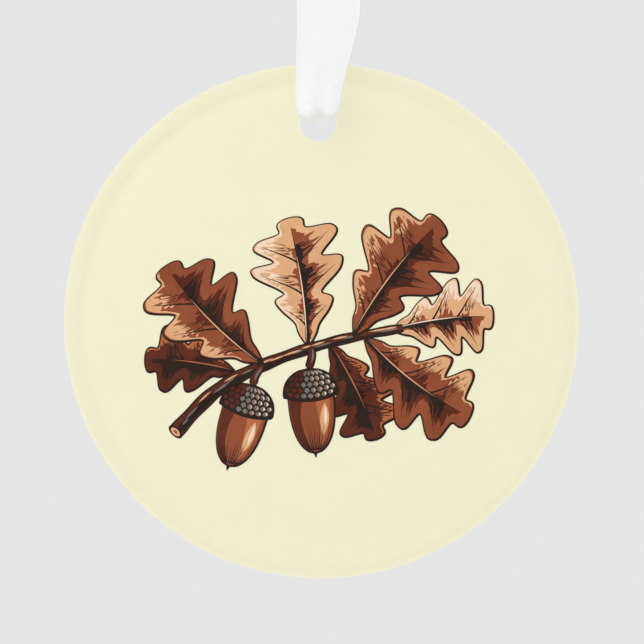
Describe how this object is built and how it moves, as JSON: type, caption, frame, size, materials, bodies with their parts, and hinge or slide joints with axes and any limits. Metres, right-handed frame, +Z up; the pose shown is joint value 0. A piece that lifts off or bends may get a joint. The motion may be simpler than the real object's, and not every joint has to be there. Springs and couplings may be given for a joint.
{
  "type": "hanging ornament",
  "caption": "Round clear acrylic ornament with a printed design on its back, hung by a loop of white satin ribbon that is knotted at the top.",
  "frame": {"origin": "the place of the hook, in the top of the ribbon loop just under the knot", "axes": "+Z up, along the hanging ribbon; -Y is the printed front that a viewer faces; +X is to the viewer's right"},
  "size_m": [0.073, 0.009, 0.1618],
  "materials": {
    "acrylic": "clear cast acrylic with polished, rounded edges; it shows the pale yellow ground printed on its back",
    "satin_ribbon": "white satin weave with a soft sheen and woven edges",
    "printed_ground": "pale yellow ink ground, even and opaque",
    "printed_ink": "flat printed ink in browns, tans and greys"
  },
  "bodies": {
    "ribbon": {"ribbon_front": "satin_ribbon", "ribbon_back": "satin_ribbon", "ribbon_knot": "satin_ribbon", "ribbon_tail_left": "satin_ribbon", "ribbon_tail_right": "satin_ribbon"},
    "disc": {"acrylic_disc": "acrylic"}
  },
  "joints": [
    {"name": "disc_swing", "type": "hinge", "parent": "ribbon", "child": "disc", "pos_m": [0, 0, -0.072], "axis": [0, 1, 0], "range_deg": [-60, 60]}
  ]
}
